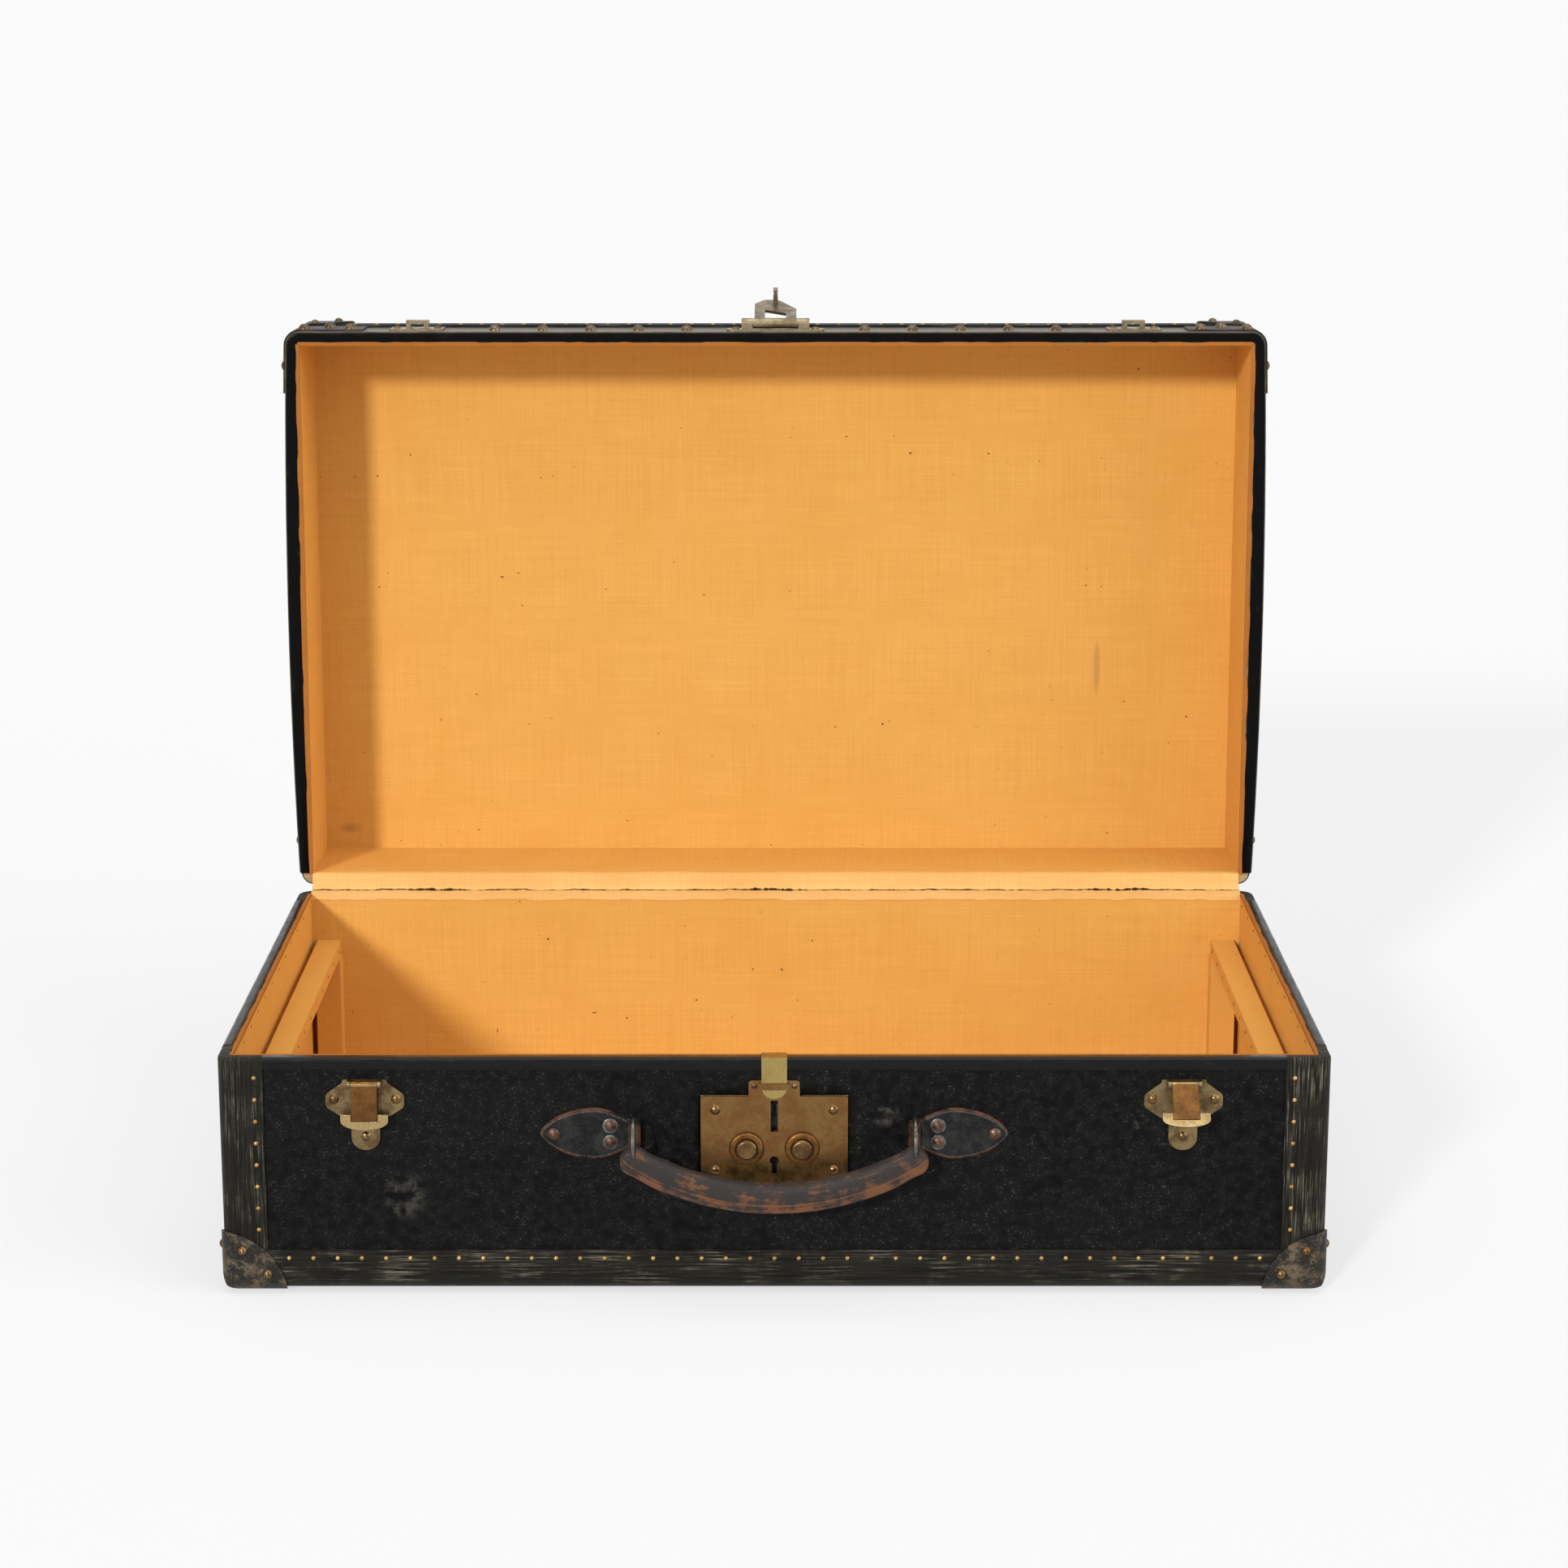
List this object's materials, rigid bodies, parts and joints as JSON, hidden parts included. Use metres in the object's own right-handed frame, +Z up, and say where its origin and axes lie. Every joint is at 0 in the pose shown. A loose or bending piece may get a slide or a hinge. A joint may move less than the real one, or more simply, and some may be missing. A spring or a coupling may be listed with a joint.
{
  "type": "travel trunk",
  "caption": "Suitcase-type travel trunk standing open: deep hinged lid, tray rails inside, brass lock with hasp, side latches and a leather handle.",
  "frame": {"origin": "on the floor under the middle of the base's footprint", "axes": "+X to the viewer's right along the front, -Y out of the front, +Z up"},
  "size_m": [0.7114, 0.5521, 0.5919],
  "materials": {
    "board": "bare softwood",
    "covering": "black coated cloth, worn",
    "lining": "orange woven canvas",
    "binding": "glossy rolled black",
    "trim": "black fibre worn to tan streaks",
    "corner_metal": "dark paint worn to bare metal",
    "brass": "aged brass",
    "nail": "aged nail heads",
    "copper_brown": "brown aged brass",
    "handle_leather": "black leather worn to red-brown",
    "mount_leather": "black leather",
    "steel": "dull steel",
    "rail_cloth": "wood covered with the lining's canvas"
  },
  "bodies": {
    "base": {"base_front_board": "board", "base_back_board": "board", "base_left_board": "board", "base_right_board": "board", "base_bottom_board": "board", "base_covering": "covering", "base_lining": "lining", "base_rim_binding": "binding", "base_bottom_trim": "trim", "base_corner_trims": "trim", "base_hinge_tape": "lining", "base_trim_nails": "nail", "base_corner_caps": "corner_metal", "base_cap_rivets": "nail", "tray_rail_left": "rail_cloth", "tray_rail_right": "rail_cloth", "lock_plate": "brass", "lock_case": "steel", "lock_collars": "brass", "lock_rivets": "nail", "lock_spring_left": "steel", "lock_spring_right": "steel", "rim_clip": "brass", "latch_left_plate": "brass", "latch_right_plate": "brass", "latch_rivets": "nail", "handle_mount_left": "mount_leather", "handle_mount_right": "mount_leather", "handle_mount_rivets": "steel", "hinge_base_leaves": "brass", "hinge_rivets": "nail", "hinge_pins": "steel"},
    "lid": {"lid_front_board": "board", "lid_back_board": "board", "lid_left_board": "board", "lid_right_board": "board", "lid_top_board": "board", "lid_covering": "covering", "lid_lining": "lining", "lid_rim_binding": "binding", "lid_edge_trims": "trim", "lid_hinge_tape": "lining", "lid_trim_nails": "nail", "lid_corner_guards": "corner_metal", "lid_studs": "nail", "hasp_plate": "brass", "lid_hardware_rivets": "nail", "lid_catches": "brass", "hinge_lid_leaves": "brass"},
    "hasp": {"hasp": "brass"},
    "latch_left_lever": {"latch_left_lever": "copper_brown"},
    "latch_right_lever": {"latch_right_lever": "copper_brown"},
    "lock_button_left": {"lock_button_left": "brass"},
    "lock_button_right": {"lock_button_right": "brass"},
    "lock_catch_left": {"lock_catch_left": "brass"},
    "lock_catch_right": {"lock_catch_right": "brass"},
    "lock_bolt": {"lock_bolt": "steel"},
    "handle_ring_left": {"handle_ring_left": "steel"},
    "handle_ring_right": {"handle_ring_right": "steel"},
    "handle_grip": {"handle_grip": "handle_leather"}
  },
  "joints": [
    {"name": "lid_hinge", "type": "hinge", "parent": "base", "child": "lid", "pos_m": [0, 0.2047, 0.1579], "axis": [1, 0, 0], "range_deg": [0, 91.75]},
    {"name": "hasp_hinge", "type": "hinge", "parent": "lid", "child": "hasp", "pos_m": [0, 0.22652, 0.57068], "axis": [1, 0, 0], "range_deg": [0, 168]},
    {"name": "latch_left_hinge", "type": "hinge", "parent": "base", "child": "latch_left_lever", "pos_m": [-0.257, -0.2073, 0.1414], "axis": [-1, 0, 0], "range_deg": [0, 170]},
    {"name": "latch_right_hinge", "type": "hinge", "parent": "base", "child": "latch_right_lever", "pos_m": [0.257, -0.2073, 0.1414], "axis": [-1, 0, 0], "range_deg": [-36, 134]},
    {"name": "button_left_push", "type": "slide", "parent": "base", "child": "lock_button_left", "axis": [0, 1, 0], "range_m": [0, 0.0025], "stiffness_N_per_m": 600, "springref_m": -0.001, "deforming": ["lock_spring_left"]},
    {"name": "button_right_push", "type": "slide", "parent": "base", "child": "lock_button_right", "axis": [0, 1, 0], "range_m": [0, 0.0025], "stiffness_N_per_m": 600, "springref_m": -0.001, "deforming": ["lock_spring_right"]},
    {"name": "catch_left_slide", "type": "slide", "parent": "base", "child": "lock_catch_left", "axis": [-1, 0, 0], "range_m": [0, 0.002]},
    {"name": "catch_right_slide", "type": "slide", "parent": "base", "child": "lock_catch_right", "axis": [1, 0, 0], "range_m": [0, 0.002]},
    {"name": "bolt_slide", "type": "slide", "parent": "base", "child": "lock_bolt", "axis": [0, 0, 1], "range_m": [0, 0.003]},
    {"name": "ring_left_spin", "type": "hinge", "parent": "base", "child": "handle_ring_left", "pos_m": [-0.088, -0.2185, 0.109], "axis": [-1, 0, 0], "continuous": true},
    {"name": "ring_right_spin", "type": "hinge", "parent": "base", "child": "handle_ring_right", "pos_m": [0.088, -0.2185, 0.109], "axis": [-1, 0, 0], "continuous": true},
    {"name": "handle_swing", "type": "hinge", "parent": "base", "child": "handle_grip", "pos_m": [0, -0.2185, 0.109], "axis": [-1, 0, 0], "range_deg": [0, 130]}
  ],
  "couplings": [
    {"joint": "catch_left_slide", "follows": "button_left_push", "ratio": 0.8},
    {"joint": "catch_right_slide", "follows": "button_right_push", "ratio": 0.8}
  ]
}
